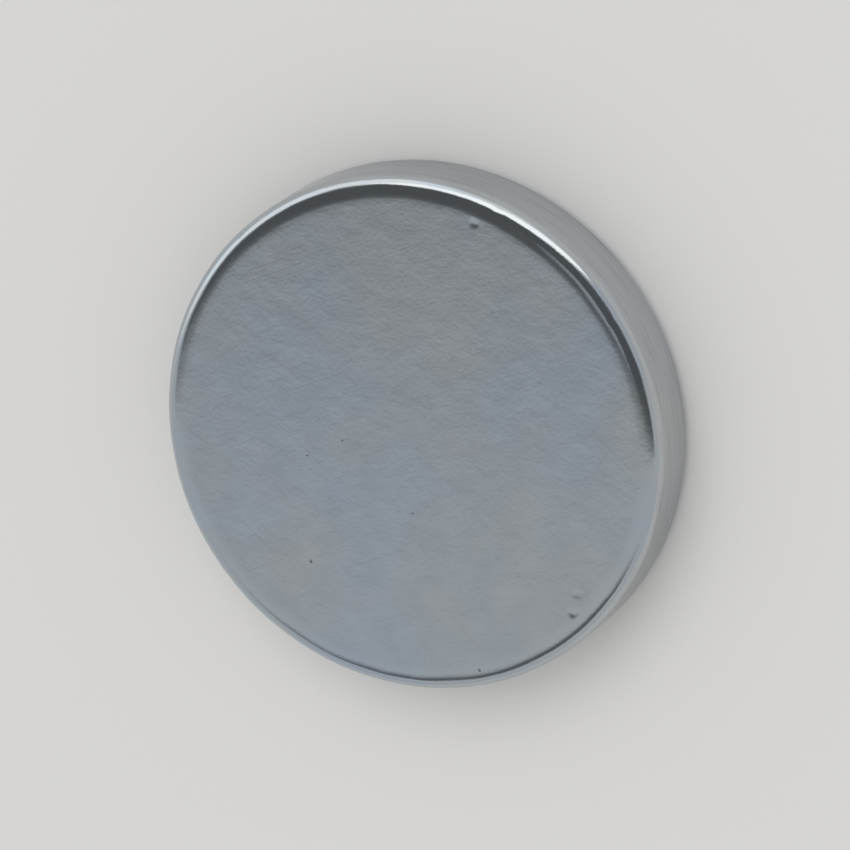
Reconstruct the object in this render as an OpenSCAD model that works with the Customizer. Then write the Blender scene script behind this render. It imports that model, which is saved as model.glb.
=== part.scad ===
// A small disc magnet, lying on one of its two pole faces.
// The origin is the middle of the lower face, and +Z is the axis of the disc.
// It is one sintered disc that was ground flat, tumbled and then plated, so
// its corners are soft and the whole disc is one revolved section.

/* [Disc] */
// Diameter over the plated rim, in mm
disc_d = 6; // [3:0.5:20]
// Thickness from one pole face to the other, in mm
disc_t = 1; // [0.8:0.1:6]

/* [Tumbled corner] */
// Radius of the corner where it turns into the rim, in mm
corner_r = 0.18; // [0.05:0.01:0.3]
// Radius of the gentler roll-off between the flat face and the corner, in mm
easing_r = 0.6; // [0.4:0.05:1.2]
// How far the roll-off turns before it meets the corner, in degrees
easing_turn = 9; // [3:1:15]

/* [Hidden] */
$fn = 96;

disc_r = disc_d / 2;
half_t = disc_t / 2;

// The roll-off and the corner are two rounds that touch where they blend.
// Their centres lie on one line, which leans by easing_turn from the axis.
centre_step = easing_r - corner_r;
corner_reach = centre_step * sin(easing_turn) + corner_r;
corner_depth = easing_r - centre_step * cos(easing_turn);

// Radius of the flat part of each pole face, and radius where the rounds blend
flat_r = disc_r - corner_reach;
blend_r = flat_r + easing_r * sin(easing_turn);

// Half the height of the straight part of the rim
rim_half = half_t - corner_depth;

// The section lies right of the axis, centred on the middle of the thickness.
module roll_off() {
    intersection() {
        translate([flat_r, half_t - easing_r]) circle(easing_r);
        square([blend_r, disc_t]);
    }
}

module rim_corner() {
    translate([disc_r - corner_r, rim_half]) circle(corner_r);
}

module upper_corner() {
    roll_off();
    rim_corner();
}

module section() {
    translate([0, -half_t]) square([flat_r, disc_t]);
    translate([0, -rim_half]) square([disc_r, 2 * rim_half]);
    upper_corner();
    mirror([0, 1]) upper_corner();
}

module disc_magnet() {
    color([0.66, 0.69, 0.73])
        translate([0, 0, half_t]) rotate_extrude() section();
}

disc_magnet();
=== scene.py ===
# %% [markdown]
# # A small plated disc magnet
#
# The object is one disc of sintered magnet alloy, 6 mm across and 1 mm thick. It was pressed and
# sintered, ground flat on both faces, tumbled with stones to soften its corners, and then plated
# with blue-white zinc. It can't stand on its rim by itself, so it lies on one face, and the
# camera looks down on it.
#
# The frame that is loaded here holds the exact solid. Everything below is in metres, in the
# solid's own axes: the floor is at z = 0, and +Z is the axis of the disc.

# %% Load the frame
import math
import random

import bmesh
import bpy
from mathutils import Matrix, Vector


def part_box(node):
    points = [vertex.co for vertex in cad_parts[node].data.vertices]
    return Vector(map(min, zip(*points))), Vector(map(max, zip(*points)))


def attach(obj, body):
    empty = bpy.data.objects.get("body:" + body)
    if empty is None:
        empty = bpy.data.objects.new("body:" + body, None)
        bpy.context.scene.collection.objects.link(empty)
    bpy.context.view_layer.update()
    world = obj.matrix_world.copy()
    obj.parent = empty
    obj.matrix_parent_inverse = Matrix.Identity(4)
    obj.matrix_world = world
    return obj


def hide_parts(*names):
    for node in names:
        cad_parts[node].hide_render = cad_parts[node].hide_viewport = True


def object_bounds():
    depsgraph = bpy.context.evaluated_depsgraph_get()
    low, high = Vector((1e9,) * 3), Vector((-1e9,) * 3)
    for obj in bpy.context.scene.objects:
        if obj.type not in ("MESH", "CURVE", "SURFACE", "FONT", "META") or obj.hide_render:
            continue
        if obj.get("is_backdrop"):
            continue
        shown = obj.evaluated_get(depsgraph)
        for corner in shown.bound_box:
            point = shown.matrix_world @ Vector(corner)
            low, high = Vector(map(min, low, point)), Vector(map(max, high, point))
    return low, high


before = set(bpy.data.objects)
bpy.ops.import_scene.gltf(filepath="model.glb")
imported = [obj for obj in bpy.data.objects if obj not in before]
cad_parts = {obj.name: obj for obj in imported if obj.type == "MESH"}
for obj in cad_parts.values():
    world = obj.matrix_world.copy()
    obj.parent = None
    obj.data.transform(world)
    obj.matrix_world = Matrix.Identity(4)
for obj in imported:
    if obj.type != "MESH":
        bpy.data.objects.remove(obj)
cad_box = [list(corner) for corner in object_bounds()]

MM = 0.001
DISC = "disc_magnet"
disc_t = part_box(DISC)[1].z
middle = Vector((0, 0, disc_t / 2))
print("frame holds", sorted(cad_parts), "thickness", round(disc_t / MM, 3), "mm")

# %% [markdown]
# ## Sizes of the section
#
# The solid's mesh is made for collisions, and its outline is cut into short straight pieces that
# show in a close-up of shiny metal. So the disc is drawn again from its section, with the same
# sizes. The section has a flat face, a gentle roll-off, a small corner and a straight rim. The
# roll-off and the corner are arcs that share a tangent where they meet.

# %% Section sizes
disc_r = 3 * MM
corner_r = 0.18 * MM
easing_r = 0.6 * MM
easing_turn = math.radians(9)

centre_step = easing_r - corner_r
corner_reach = centre_step * math.sin(easing_turn) + corner_r
corner_depth = easing_r - centre_step * math.cos(easing_turn)
flat_r = disc_r - corner_reach
print("flat face", round(2 * flat_r / MM, 3), "mm across")
print("corner", round(corner_reach / MM, 3), "mm wide and", round(corner_depth / MM, 3), "mm deep")

# %% [markdown]
# ## The camera
#
# The photograph looks at the disc's face from 27.7 degrees off its axis, from the side where the
# rim shows at the upper right. The camera here has the same place relative to the disc, and a
# longer lens, so the disc fills the picture as in an enlargement of the photograph.

# %% Camera
view_from = Vector((31.6, 25.7, 77.7)) * MM
image_up = Vector((0, 1, 0))
lens_mm = 330

toward_camera = view_from.normalized()
side = image_up.cross(toward_camera).normalized()
up = toward_camera.cross(side)

camera_data = bpy.data.cameras.new("camera")
camera_data.lens = lens_mm
camera_data.clip_start = 1 * MM
camera_data.clip_end = 10
camera = bpy.data.objects.new("camera", camera_data)
turn = Matrix((side, up, toward_camera)).transposed()
camera.matrix_world = Matrix.Translation(middle + view_from) @ turn.to_4x4()
bpy.context.scene.collection.objects.link(camera)
bpy.context.scene.camera = camera
tilt = math.degrees(toward_camera.angle(Vector((0, 0, 1))))
print("camera", round(view_from.length / MM, 1), "mm away,", round(tilt, 1), "degrees off the axis")

# %% [markdown]
# ## The disc's section
#
# A round thing like this could start as a cylinder with bevelled edges. A bevel can't make a
# corner of two different arcs, though, and spinning a section can. One point is moved outwards
# for the flat face, spun about the centre of each arc, moved down the rim, and brought back
# along the lower face.

# %% Start with a single point on the axis
bpy.ops.object.select_all(action="DESELECT")
bpy.ops.mesh.primitive_plane_add(size=MM, location=(0, 0, disc_t))
disc = bpy.context.object
disc.name = disc.data.name = "plated_disc"
bpy.ops.object.transform_apply(location=True, rotation=True, scale=True)
bpy.ops.object.mode_set(mode="EDIT")
bpy.ops.mesh.select_all(action="SELECT")
bpy.ops.mesh.merge(type="CENTER")

# %% [markdown]
# The upper face gets rings less than a tenth of a millimetre apart, because small dings are
# pressed into it later. The corners get close steps, because a corner of shiny metal reflects
# the whole room in a strip that is only a fifth of a millimetre wide.

# %% Draw the section from pole to pole
SECTION_AXIS = (0, -1, 0)
upper_rings = 40
lower_rings = 8
easing_steps = 5
corner_steps = 18
rim_steps = 5
corner_turn = math.radians(90) - easing_turn


def draw_line(offset, steps):
    """Extrudes the selected point along offset, in equal steps."""
    step = Vector(offset) / steps
    for _ in range(steps):
        bpy.ops.mesh.extrude_region_move(TRANSFORM_OT_translate={"value": step})


def draw_arc(centre, angle, steps):
    """Spins the selected point about a centre in the plane of the section."""
    bpy.ops.mesh.spin(steps=steps, angle=angle, center=centre, axis=SECTION_AXIS)


draw_line((flat_r, 0, 0), upper_rings)
draw_arc((flat_r, 0, disc_t - easing_r), easing_turn, easing_steps)
draw_arc((disc_r - corner_r, 0, disc_t - corner_depth), corner_turn, corner_steps)
draw_line((0, 0, 2 * corner_depth - disc_t), rim_steps)
draw_arc((disc_r - corner_r, 0, corner_depth), corner_turn, corner_steps)
draw_arc((flat_r, 0, easing_r), easing_turn, easing_steps)
draw_line((-flat_r, 0, 0), lower_rings)

# %% [markdown]
# ## Spin it into a disc
#
# The line is spun once around the axis, as a lathe would turn it. That leaves one double point
# for each step on the axis and a double line where the turn closes, so doubles are merged. Then
# the normals are pointed outwards, because a spin doesn't say which side is the inside.

# %% Spin the section around the axis
around_steps = 576
merge_within = 0.0001 * MM

bpy.ops.mesh.select_all(action="SELECT")
bpy.ops.mesh.spin(steps=around_steps, angle=math.tau, center=(0, 0, 0), axis=(0, 0, 1))
bpy.ops.mesh.select_all(action="SELECT")
bpy.ops.mesh.remove_doubles(threshold=merge_within)
bpy.ops.mesh.normals_make_consistent(inside=False)
bpy.ops.object.mode_set(mode="OBJECT")
bpy.ops.object.shade_smooth()
print("disc has", len(disc.data.vertices), "points and", len(disc.data.polygons), "faces")

# %% [markdown]
# ## Uneven tumbled corners
#
# Stones in a tumbler don't wear a corner evenly, so the bright line along a real corner gets a
# little wider and narrower as it goes round. A Displace modifier with a cloud pattern moves the
# corners and the rim inwards by a few thousandths of a millimetre. A vertex group keeps the flat
# faces out of it, because those were ground.

# %% Wear the corners and the rim
wear_depth = 0.008 * MM
wear_size = 0.7 * MM

edge = disc.vertex_groups.new(name="edge")
for point in disc.data.vertices:
    out = (point.co.xy.length - flat_r) / (corner_reach / 2)
    if out > 0:
        edge.add([point.index], min(out, 1), "REPLACE")

clouds = bpy.data.textures.new("tumbling", "CLOUDS")
clouds.noise_scale = wear_size
clouds.noise_depth = 1
wear = disc.modifiers.new("wear", "DISPLACE")
wear.texture = clouds
wear.vertex_group = edge.name
wear.mid_level = 0
wear.strength = -wear_depth
bpy.ops.object.modifier_apply(modifier=wear.name)
disc.vertex_groups.clear()
bpy.data.textures.remove(clouds)
widest = max(point.co.xy.length for point in disc.data.vertices)
print("widest point after the wear", round(widest / MM, 4), "mm from the axis")

# %% [markdown]
# ## Dings
#
# A disc takes a few knocks in the tumbling barrel. The photograph shows a small mark near the
# upper edge of the face and a pair near the lower right edge. Each is pressed in with
# proportional editing: the nearest point goes in along its normal, and its neighbours follow.
# The rings are too far apart for such a small dent, so the faces around it are subdivided first.

# %% A tool that presses one ding
ding_cuts = 2


def select_only(mesh, items):
    """Leaves only these points or faces selected."""
    bpy.ops.mesh.select_all(action="DESELECT")
    for item in items:
        item.select_set(True)
    mesh.select_flush(True)
    bmesh.update_edit_mesh(disc.data)


def refine(spot, reach):
    """Subdivides the faces within reach of a spot."""
    mesh = bmesh.from_edit_mesh(disc.data)
    near = [face for face in mesh.faces if (face.calc_center_median() - spot).length < reach]
    select_only(mesh, near)
    bpy.ops.mesh.subdivide(number_cuts=ding_cuts)


def press(spot, reach, depth):
    """Pushes the point nearest to a spot in by depth, with all points within reach."""
    mesh = bmesh.from_edit_mesh(disc.data)
    nearest = min(mesh.verts, key=lambda point: (point.co - spot).length_squared)
    inwards = -nearest.normal * depth
    select_only(mesh, [nearest])
    bpy.ops.transform.translate(
        value=inwards,
        use_proportional_edit=True,
        proportional_edit_falloff="SMOOTH",
        proportional_size=reach,
    )


# %% Press the dings that the photograph shows
# Each ding is one to three knocks: place on the face from the axis, reach and depth, all in mm
face_dings = [
    [(0.78, 2.58, 0.070, 0.0035), (0.82, 2.56, 0.050, 0.0020)],
    [(2.05, -1.60, 0.080, 0.0020), (2.01, -1.62, 0.050, 0.0012)],
    [(2.00, -1.84, 0.075, 0.0040), (2.05, -1.81, 0.060, 0.0020), (1.96, -1.82, 0.040, 0.0015)],
]
refine_margin = 0.05 * MM

bpy.ops.object.mode_set(mode="EDIT")
bpy.ops.mesh.select_mode(type="VERT")
for knocks in face_dings:
    x, y, reach, depth = knocks[0]
    refine(Vector((x * MM, y * MM, disc_t)), reach * MM + refine_margin)
    for x, y, reach, depth in knocks:
        press(Vector((x * MM, y * MM, disc_t)), reach * MM, depth * MM)
    print("ding near", (x, y), "mm, made of", len(knocks), "knocks")

# %% [markdown]
# The corners of such a disc have a few knocks too, most of them too small for the photograph to
# show. They are laid out by a random draw with a fixed seed, so that they are the same each time.

# %% Knocks along both corners
knocks_per_corner = 9
lean_range = (25, 70)  # degrees from the axis, around the corner
reach_range_mm = (0.06, 0.11)
depth_range_mm = (0.003, 0.007)
draw = random.Random(6)

for upper in (True, False):
    for _ in range(knocks_per_corner):
        around = draw.uniform(0, math.tau)
        lean = math.radians(draw.uniform(*lean_range))
        out = disc_r - corner_r + corner_r * math.sin(lean)
        down = corner_depth - corner_r * math.cos(lean)
        height = disc_t - down if upper else down
        spot = Vector((out * math.cos(around), out * math.sin(around), height))
        press(spot, draw.uniform(*reach_range_mm) * MM, draw.uniform(*depth_range_mm) * MM)
bpy.ops.object.mode_set(mode="OBJECT")
print("pressed", 2 * knocks_per_corner, "knocks into the corners")

# %% [markdown]
# ## Colours and nodes
#
# Colours are written as sRGB hex codes, the way a paint program shows them, and turned into the
# linear values that Blender's shaders work with. One helper adds any node with its settings and
# its links, so that a material below reads as a list of its parts.

# %% Helpers for materials


def linear(hex_code):
    """Turns an sRGB hex code into linear red, green, blue and alpha."""
    shares = [int(hex_code[i : i + 2], 16) / 255 for i in (1, 3, 5)]
    turned = [s / 12.92 if s <= 0.04045 else ((s + 0.055) / 1.055) ** 2.4 for s in shares]
    return (*turned, 1)


def add_node(tree, kind, sockets=None, **settings):
    """Adds a node, sets its properties, and gives its sockets values or links."""
    node = tree.nodes.new(kind)
    for name, value in settings.items():
        setattr(node, name, value)
    for socket, value in (sockets or {}).items():
        if isinstance(value, bpy.types.NodeSocket):
            tree.links.new(value, node.inputs[socket])
        else:
            node.inputs[socket].default_value = value
    return node


def per(size_mm):
    """The texture scale at which a pattern's features are size_mm across."""
    return 1 / (size_mm * MM)


def new_tree(owner):
    """Gives a material or a world an empty node tree."""
    owner.use_nodes = True
    owner.node_tree.nodes.clear()
    return owner.node_tree


# %% [markdown]
# ## Blue-white zinc plate
#
# Zinc plated over a ground and tumbled alloy is a bright metal with a cool tint, from the thin
# passivating film on it. It mirrors its surroundings, but softly, because the sintered grains
# below it are never quite flat. So its look comes from four things: a tint that drifts a little,
# a roughness that changes from patch to patch, a fine grain, and a few marks of handling.

# %% The tint drifts between two cool greys
film_mm = 1.6  # real films are even over a millimetre or so
film_blue, film_grey = "#B6C2CF", "#BCC4C9"
film_low, film_high = 0.35, 0.65  # most of the noise lies between these
COLOUR_A, COLOUR_B = 6, 7  # a Mix node's colour sockets share their names with its number ones
MIXED_COLOUR = 2

zinc = bpy.data.materials.new("blue_white_zinc_plate")
tree = new_tree(zinc)
place = add_node(tree, "ShaderNodeTexCoord").outputs["Object"]
film = add_node(tree, "ShaderNodeTexNoise", {"Vector": place, "Scale": per(film_mm), "Detail": 2.0})
film_share = add_node(
    tree,
    "ShaderNodeMapRange",
    {"Value": film.outputs["Fac"], "From Min": film_low, "From Max": film_high},
)
tint = add_node(
    tree,
    "ShaderNodeMix",
    {"Factor": film_share.outputs[0], COLOUR_A: linear(film_blue), COLOUR_B: linear(film_grey)},
    data_type="RGBA",
)
print("tint drifts over", film_mm, "mm")

# %% [markdown]
# Pits are places where the sintered alloy had a pore at its surface, and the plating could not
# quite close it. A Voronoi pattern gives one centre per cell. Only some cells get a pit, picked
# by the random colour that the pattern gives each cell.

# %% Pores under the plating
pit_spacing_mm = 0.42
pit_r_mm = 0.022
pit_core = 0.4  # the share of a pit's radius that is at full depth
pit_share = 0.2
pit_dark, pit_dark_share = "#5E636B", 0.5

cells = add_node(
    tree, "ShaderNodeTexVoronoi", {"Vector": place, "Scale": per(pit_spacing_mm)}, feature="F1"
)
pit_r = pit_r_mm / pit_spacing_mm
near_centre = add_node(
    tree,
    "ShaderNodeMapRange",
    {
        "Value": cells.outputs["Distance"],
        "From Min": pit_core * pit_r,
        "From Max": pit_r,
        "To Min": 1.0,
        "To Max": 0.0,
    },
    interpolation_type="SMOOTHSTEP",
)
cell_draw = add_node(tree, "ShaderNodeSeparateColor", {"Color": cells.outputs["Color"]})
picked = add_node(
    tree, "ShaderNodeMath", {0: cell_draw.outputs["Red"], 1: pit_share}, operation="LESS_THAN"
)
pits = add_node(
    tree, "ShaderNodeMath", {0: near_centre.outputs[0], 1: picked.outputs[0]}, operation="MULTIPLY"
)
pit_tone = add_node(
    tree, "ShaderNodeMath", {0: pits.outputs[0], 1: pit_dark_share}, operation="MULTIPLY"
)
colour = add_node(
    tree,
    "ShaderNodeMix",
    {
        "Factor": pit_tone.outputs[0],
        COLOUR_A: tint.outputs[MIXED_COLOUR],
        COLOUR_B: linear(pit_dark),
    },
    data_type="RGBA",
)
print("pits", 2 * pit_r_mm, "mm across, in", round(100 * pit_share), "percent of the cells")

# %% [markdown]
# The rim was ground round before it was plated, so its film looks less blue, and fine lines run
# along it that are a little lighter and darker. They are noise that is squeezed in Z, so that
# they can't show on the flat faces. Real lines are about a hundredth of a millimetre apart, which
# is finer than a pixel here, so these are drawn four times as coarse.

# %% Lines along the rim
rim_line_mm, rim_line_length_mm = 0.04, 0.9
rim_film, rim_film_share = "#C6C6C5", 0.5
rim_dark, rim_dark_share = "#9A9894", 0.5
line_low, line_high = 0.45, 0.75  # the noise's range from no line to a full one
rim_begins, rim_full = disc_r - corner_r / 4, disc_r - corner_r / 10

along_rim = per(rim_line_length_mm)
squeezed = add_node(
    tree, "ShaderNodeMapping", {"Vector": place, "Scale": (along_rim, along_rim, per(rim_line_mm))}
)
rim_lines = add_node(
    tree, "ShaderNodeTexNoise", {"Vector": squeezed.outputs[0], "Scale": 1.0, "Detail": 2.0}
)
line_tone = add_node(
    tree,
    "ShaderNodeMapRange",
    {
        "Value": rim_lines.outputs["Fac"],
        "From Min": line_low,
        "From Max": line_high,
        "To Max": rim_dark_share,
    },
)
flat_place = add_node(tree, "ShaderNodeVectorMath", {0: place, 1: (1, 1, 0)}, operation="MULTIPLY")
from_axis = add_node(tree, "ShaderNodeVectorMath", {0: flat_place.outputs[0]}, operation="LENGTH")
on_rim = add_node(
    tree,
    "ShaderNodeMapRange",
    {"Value": from_axis.outputs["Value"], "From Min": rim_begins, "From Max": rim_full},
)
less_blue = add_node(
    tree, "ShaderNodeMath", {0: on_rim.outputs[0], 1: rim_film_share}, operation="MULTIPLY"
)
colour = add_node(
    tree,
    "ShaderNodeMix",
    {
        "Factor": less_blue.outputs[0],
        COLOUR_A: colour.outputs[MIXED_COLOUR],
        COLOUR_B: linear(rim_film),
    },
    data_type="RGBA",
)
rim_tone = add_node(
    tree, "ShaderNodeMath", {0: line_tone.outputs[0], 1: on_rim.outputs[0]}, operation="MULTIPLY"
)
colour = add_node(
    tree,
    "ShaderNodeMix",
    {
        "Factor": rim_tone.outputs[0],
        COLOUR_A: colour.outputs[MIXED_COLOUR],
        COLOUR_B: linear(rim_dark),
    },
    data_type="RGBA",
)
print("rim lines", rim_line_mm, "mm apart")

# %% [markdown]
# The corners were rubbed the most in the tumbler, so they are the smoothest part. A mask that
# grows with the distance from the axis tells where the flat face ends.

# %% Roughness in patches, smoother on the corners
patch_mm = 0.35
patch_low, patch_high = 0.3, 0.7  # most of the noise lies between these
rough_low, rough_high = 0.11, 0.17
burnish = 0.8

on_corner = add_node(
    tree,
    "ShaderNodeMapRange",
    {
        "Value": from_axis.outputs["Value"],
        "From Min": flat_r,
        "From Max": flat_r + corner_reach / 2,
    },
)
patches = add_node(
    tree, "ShaderNodeTexNoise", {"Vector": place, "Scale": per(patch_mm), "Detail": 3.0}
)
patch_rough = add_node(
    tree,
    "ShaderNodeMapRange",
    {
        "Value": patches.outputs["Fac"],
        "From Min": patch_low,
        "From Max": patch_high,
        "To Min": rough_low,
        "To Max": rough_high,
    },
)
corner_share = add_node(
    tree, "ShaderNodeMapRange", {"Value": on_corner.outputs[0], "To Min": 1.0, "To Max": burnish}
)
roughness = add_node(
    tree,
    "ShaderNodeMath",
    {0: patch_rough.outputs[0], 1: corner_share.outputs[0]},
    operation="MULTIPLY",
)
print("roughness from", rough_low, "to", rough_high)

# %% [markdown]
# Hairlines are what handling leaves. Each is a streak of noise that is stretched far along one
# direction. Only the highest parts of the noise are kept, so the streaks are sparse. They are on
# the flat faces only, because the corners are worn smooth again.

# %% Hairlines in three directions
# Each set: direction in degrees, length and width in mm
hairline_sets = [(24, 1.6, 0.030), (-41, 1.1, 0.026), (78, 2.2, 0.034)]
keep_above, keep_fully = 0.74, 0.80

hairlines = 0.0
for angle, length_mm, width_mm in hairline_sets:
    stretched = add_node(
        tree,
        "ShaderNodeMapping",
        {
            "Vector": place,
            "Rotation": (0, 0, math.radians(angle)),
            "Scale": (length_mm * MM, width_mm * MM, 1),
        },
        vector_type="TEXTURE",
    )
    streaks = add_node(
        tree, "ShaderNodeTexNoise", {"Vector": stretched.outputs[0], "Scale": 1.0, "Detail": 0.0}
    )
    kept = add_node(
        tree,
        "ShaderNodeMapRange",
        {"Value": streaks.outputs["Fac"], "From Min": keep_above, "From Max": keep_fully},
    )
    hairlines = add_node(
        tree, "ShaderNodeMath", {0: hairlines, 1: kept.outputs[0]}, operation="MAXIMUM"
    ).outputs[0]
on_flat = add_node(tree, "ShaderNodeMath", {0: 1.0, 1: on_corner.outputs[0]}, operation="SUBTRACT")
scratches = add_node(
    tree, "ShaderNodeMath", {0: hairlines, 1: on_flat.outputs[0]}, operation="MULTIPLY"
)
print(len(hairline_sets), "sets of hairlines")

# %% [markdown]
# The surface's height has five layers. The first is the gentle waviness of a plated face, which
# bends reflections a little. The second is the grain of the alloy. Real grains are about
# 5 thousandths of a millimetre, which is finer than a pixel here, so the grain is drawn nine
# times as coarse. Then come the rim lines, the pits and the hairlines. Each layer is a bump with
# its own real depth, and each bump starts from the normal of the one before. Pits and hairlines
# go inwards, so their bumps are inverted.

# %% Layers of relief
wave_mm = 0.22
grain_mm = 0.045

waves = add_node(
    tree, "ShaderNodeTexNoise", {"Vector": place, "Scale": per(wave_mm), "Detail": 1.0}
)
grain = add_node(
    tree,
    "ShaderNodeTexNoise",
    {"Vector": place, "Scale": per(grain_mm), "Detail": 3.0, "Roughness": 0.6},
)
# Each layer: its height pattern, its depth in mm, and whether it goes inwards
relief_layers = [
    (waves.outputs["Fac"], 0.0014, False),
    (grain.outputs["Fac"], 0.0008, False),
    (rim_lines.outputs["Fac"], 0.0015, False),
    (pits.outputs[0], 0.003, True),
    (scratches.outputs[0], 0.00015, True),
]
surface = add_node(tree, "ShaderNodeNewGeometry").outputs["Normal"]
for pattern, depth_mm, inwards in relief_layers:
    surface = add_node(
        tree,
        "ShaderNodeBump",
        {"Height": pattern, "Strength": 1.0, "Distance": depth_mm * MM, "Normal": surface},
        invert=inwards,
    ).outputs["Normal"]
print(len(relief_layers), "layers of relief")

# %% [markdown]
# The shader is a plain metal. Metallic is 1, and the IOR keeps its default, because a metal's
# brightness comes from its colour. On a metal the specular tint says how much of the light is
# left at a low glancing angle. Zinc and its film take some of it there, so the outline of the
# disc gets a little darker.

# %% Finish the plate and give it to the disc
glancing_tint = "#EBEBEC"

shader = add_node(
    tree,
    "ShaderNodeBsdfPrincipled",
    {
        "Base Color": colour.outputs[MIXED_COLOUR],
        "Metallic": 1.0,
        "Specular Tint": linear(glancing_tint),
        "Roughness": roughness.outputs[0],
        "Normal": surface,
    },
)
add_node(tree, "ShaderNodeOutputMaterial", {"Surface": shader.outputs["BSDF"]})
disc.data.materials.clear()
disc.data.materials.append(zinc)
print("zinc plate has", len(tree.nodes), "nodes")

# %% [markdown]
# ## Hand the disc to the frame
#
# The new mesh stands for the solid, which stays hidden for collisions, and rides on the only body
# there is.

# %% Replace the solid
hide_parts(DISC)
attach(disc, "root")

# %% [markdown]
# ## A pale floor
#
# The photograph's background is a plain light grey with no edge in sight. A large matt sheet in
# that colour gives the same, and keeps the disc's shadow.

# %% Floor
floor_size = 4
PALE_GREY = linear("#D6D5D3")

bpy.ops.object.select_all(action="DESELECT")
bpy.ops.mesh.primitive_plane_add(size=floor_size, location=(0, 0, 0))
floor = bpy.context.object
floor.name = floor.data.name = "floor"
paper = bpy.data.materials.new("pale_matt_paper")
tree = new_tree(paper)
matt = add_node(tree, "ShaderNodeBsdfDiffuse", {"Color": PALE_GREY})
add_node(tree, "ShaderNodeOutputMaterial", {"Surface": matt.outputs[0]})
floor.data.materials.append(paper)
floor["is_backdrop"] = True

# %% [markdown]
# ## What the metal reflects
#
# A mirror-like disc shows its surroundings more than its own colour, so the surroundings are
# where its look comes from. The photograph tells what they were. A pale grey wall stands in front
# of the face, something dark hangs overhead, and a bright window lies beyond the top. So this
# room is painted on the sky with soft patches. What places them is how high a direction points
# and how closely it points to a few sides of the room.

# %% Measures of a direction
world = bpy.data.worlds.new("pale_studio")
bpy.context.scene.world = world
# The three kinds of ray see different things, which light sampling would mix up
world.cycles.sampling_method = "NONE"
tree = new_tree(world)
direction = add_node(tree, "ShaderNodeTexCoord").outputs["Generated"]

side_azimuths = {"far": 90, "window": 92, "left": 143, "near": 265}
sill_slope = 0.25
targets = {"height": (0, 0, 1), "above the sill": (sill_slope, 0, 1)}
for name, degrees in side_azimuths.items():
    targets[name] = (math.cos(math.radians(degrees)), math.sin(math.radians(degrees)), 0)
measures = {}
for name, target in targets.items():
    measures[name] = add_node(
        tree, "ShaderNodeVectorMath", {0: direction, 1: target}, operation="DOT_PRODUCT"
    ).outputs["Value"]
print("measures:", ", ".join(measures))

# %% [markdown]
# The dark shape overhead ends very softly on the near side, where the flat face mirrors its edge,
# and more sharply on the far side. That takes more stops than one fade has, so it is a colour
# ramp. A ramp runs from 0 to 1 and a measure from -1 to 1, so a Map Range node comes first.

# %% The near and far edges of the dark shape overhead
# Each stop: how far the direction leans to the far side, and how much of the dark shape shows
dark_stops = [(-1, 0), (-0.298, 0), (-0.260, 0.42), (-0.22, 0.68), (-0.17, 0.90), (-0.09, 1)]
dark_stops += [(0.61, 1), (0.75, 0)]

lean_share = add_node(
    tree, "ShaderNodeMapRange", {"Value": measures["far"], "From Min": -1.0, "From Max": 1.0}
)
ramp = add_node(tree, "ShaderNodeValToRGB", {"Fac": lean_share.outputs[0]})
elements = ramp.color_ramp.elements
elements.remove(elements[-1])
for stop_lean, share in dark_stops:
    stop = elements[0] if stop_lean == -1 else elements.new((stop_lean + 1) / 2)
    stop.color = (share, share, share, 1)
print(len(dark_stops), "stops on the dark shape")

# %% [markdown]
# Each patch has a colour and a few fades that are multiplied, and is mixed over what is there.
# The dark shape stops above the horizon, so that the disc stays a bright metal when it is seen
# from the side, and it has a small opening right above, so that the disc does too when it is seen
# from the top. The dark patch on the near side draws the dark line along the lower edge.
# The window stops above the horizon as well, or the face would be lost in white from the front.
# Its sill drops to the right, where the highlight on the corner has to run on for a while.

# %% Paint the room
WALL = (0.583, 0.58, 0.577, 1)
# Each patch: name, colour, what it starts from, and its fades (measure, start, end, low, high)
patches = [
    ("bright far wall", (0.98, 0.97, 0.95, 1), 1.0, [("far", 0.65, 0.89, 0, 1)]),
    (
        "bright left wall",
        (1.25, 1.22, 1.18, 1),
        1.0,
        [("left", 0.62, 0.84, 0, 1), ("height", 0.40, 0.56, 1, 0)],
    ),
    (
        "dark near side",
        (0.15, 0.15, 0.15, 1),
        1.0,
        [("near", 0.52, 0.70, 0, 1), ("height", 0.51, 0.60, 0, 1)],
    ),
    (
        "dark shape overhead",
        (0.122, 0.12, 0.118, 1),
        ramp.outputs["Color"],
        [("height", 0.42, 0.66, 0, 1), ("height", 0.986, 0.995, 1, 0.40)],
    ),
    (
        "window",
        (1.75, 1.65, 1.54, 1),
        1.0,
        [("window", 0.64, 0.73, 0, 1), ("above the sill", 0.27, 0.39, 0, 1)],
    ),
]
room = WALL
for name, colour, share, fades in patches:
    for measure, start, end, low, high in fades:
        fade = add_node(
            tree,
            "ShaderNodeMapRange",
            {
                "Value": measures[measure],
                "From Min": start,
                "From Max": end,
                "To Min": low,
                "To Max": high,
            },
            interpolation_type="SMOOTHSTEP",
        )
        share = add_node(
            tree, "ShaderNodeMath", {0: share, 1: fade.outputs[0]}, operation="MULTIPLY"
        ).outputs[0]
    room = add_node(
        tree,
        "ShaderNodeMix",
        {"Factor": share, COLOUR_A: room, COLOUR_B: colour},
        data_type="RGBA",
    ).outputs[MIXED_COLOUR]
lit_room = add_node(tree, "ShaderNodeBackground", {"Color": room})
print("painted:", ", ".join(patch[0] for patch in patches))

# %% [markdown]
# The metal sees this room only straight from the camera's side. The floor is lit by an even dome
# instead, and so is whatever the disc throws back on it. The camera sees the plain backdrop.

# %% Each kind of ray gets its own surroundings
dome_level = 0.82
bounce_limit = 0.5  # a count of none is less than this, and a count of one is more

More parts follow.
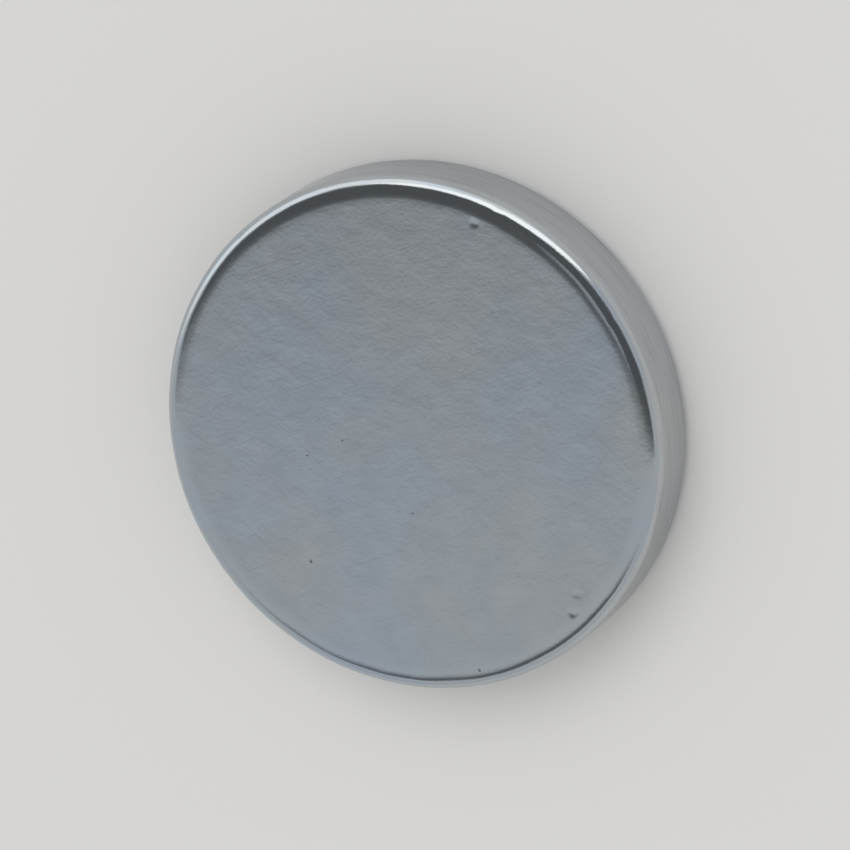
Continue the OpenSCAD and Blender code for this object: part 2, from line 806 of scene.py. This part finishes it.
dome = add_node(tree, "ShaderNodeBackground", {"Color": (1, 1, 1, 1), "Strength": dome_level})
backdrop = add_node(tree, "ShaderNodeBackground", {"Color": PALE_GREY})
ray = add_node(tree, "ShaderNodeLightPath").outputs
not_from_floor = add_node(
    tree, "ShaderNodeMath", {0: ray["Diffuse Depth"], 1: bounce_limit}, operation="LESS_THAN"
)
mirrored = add_node(
    tree,
    "ShaderNodeMath",
    {0: ray["Is Glossy Ray"], 1: not_from_floor.outputs[0]},
    operation="MULTIPLY",
)
seen_by_metal = add_node(
    tree,
    "ShaderNodeMixShader",
    {0: mirrored.outputs[0], 1: dome.outputs[0], 2: lit_room.outputs[0]},
)
seen_by_camera = add_node(
    tree,
    "ShaderNodeMixShader",
    {0: ray["Is Camera Ray"], 1: seen_by_metal.outputs[0], 2: backdrop.outputs[0]},
)
add_node(tree, "ShaderNodeOutputWorld", {"Surface": seen_by_camera.outputs[0]})
print("the surroundings have", len(tree.nodes), "nodes")

# %% [markdown]
# ## One soft key light
#
# The window beyond the top also has to throw a shadow. A sun lamp with a wide angle does that:
# it lights the whole floor evenly, and its shadow fades out over about a millimetre. The metal
# already sees the painted window, so it doesn't see the lamp as well.

# %% Key light
key_level = 0.18
key_azimuth = math.radians(95)
key_height = math.radians(55)
key_spread = math.radians(40)

toward_key = Vector((0, 0, 1))
toward_key.x = math.cos(key_azimuth) * math.cos(key_height)
toward_key.y = math.sin(key_azimuth) * math.cos(key_height)
toward_key.z = math.sin(key_height)
key_data = bpy.data.lights.new("window", "SUN")
key_data.angle = key_spread
key_data.energy = math.pi * key_level / math.sin(key_height)
key = bpy.data.objects.new("window", key_data)
key.matrix_world = toward_key.to_track_quat("Z", "Y").to_matrix().to_4x4()
key.visible_glossy = False
bpy.context.scene.collection.objects.link(key)
print("a level surface gets", dome_level + key_level, "of a plain white light")

# %% [markdown]
# ## Finish
#
# The view transform is set to Standard, so a colour shows as it was written. The two boxes are
# printed at the end, so that the drawn disc can be compared with the solid. It may not grow
# past it.

# %% Boxes and the end
bpy.context.scene.view_settings.view_transform = "Standard"
drawn_box = [list(corner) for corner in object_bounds()]
for name, box in (("solid", cad_box), ("drawn", drawn_box)):
    print(name, [[round(value / MM, 4) for value in corner] for corner in box])
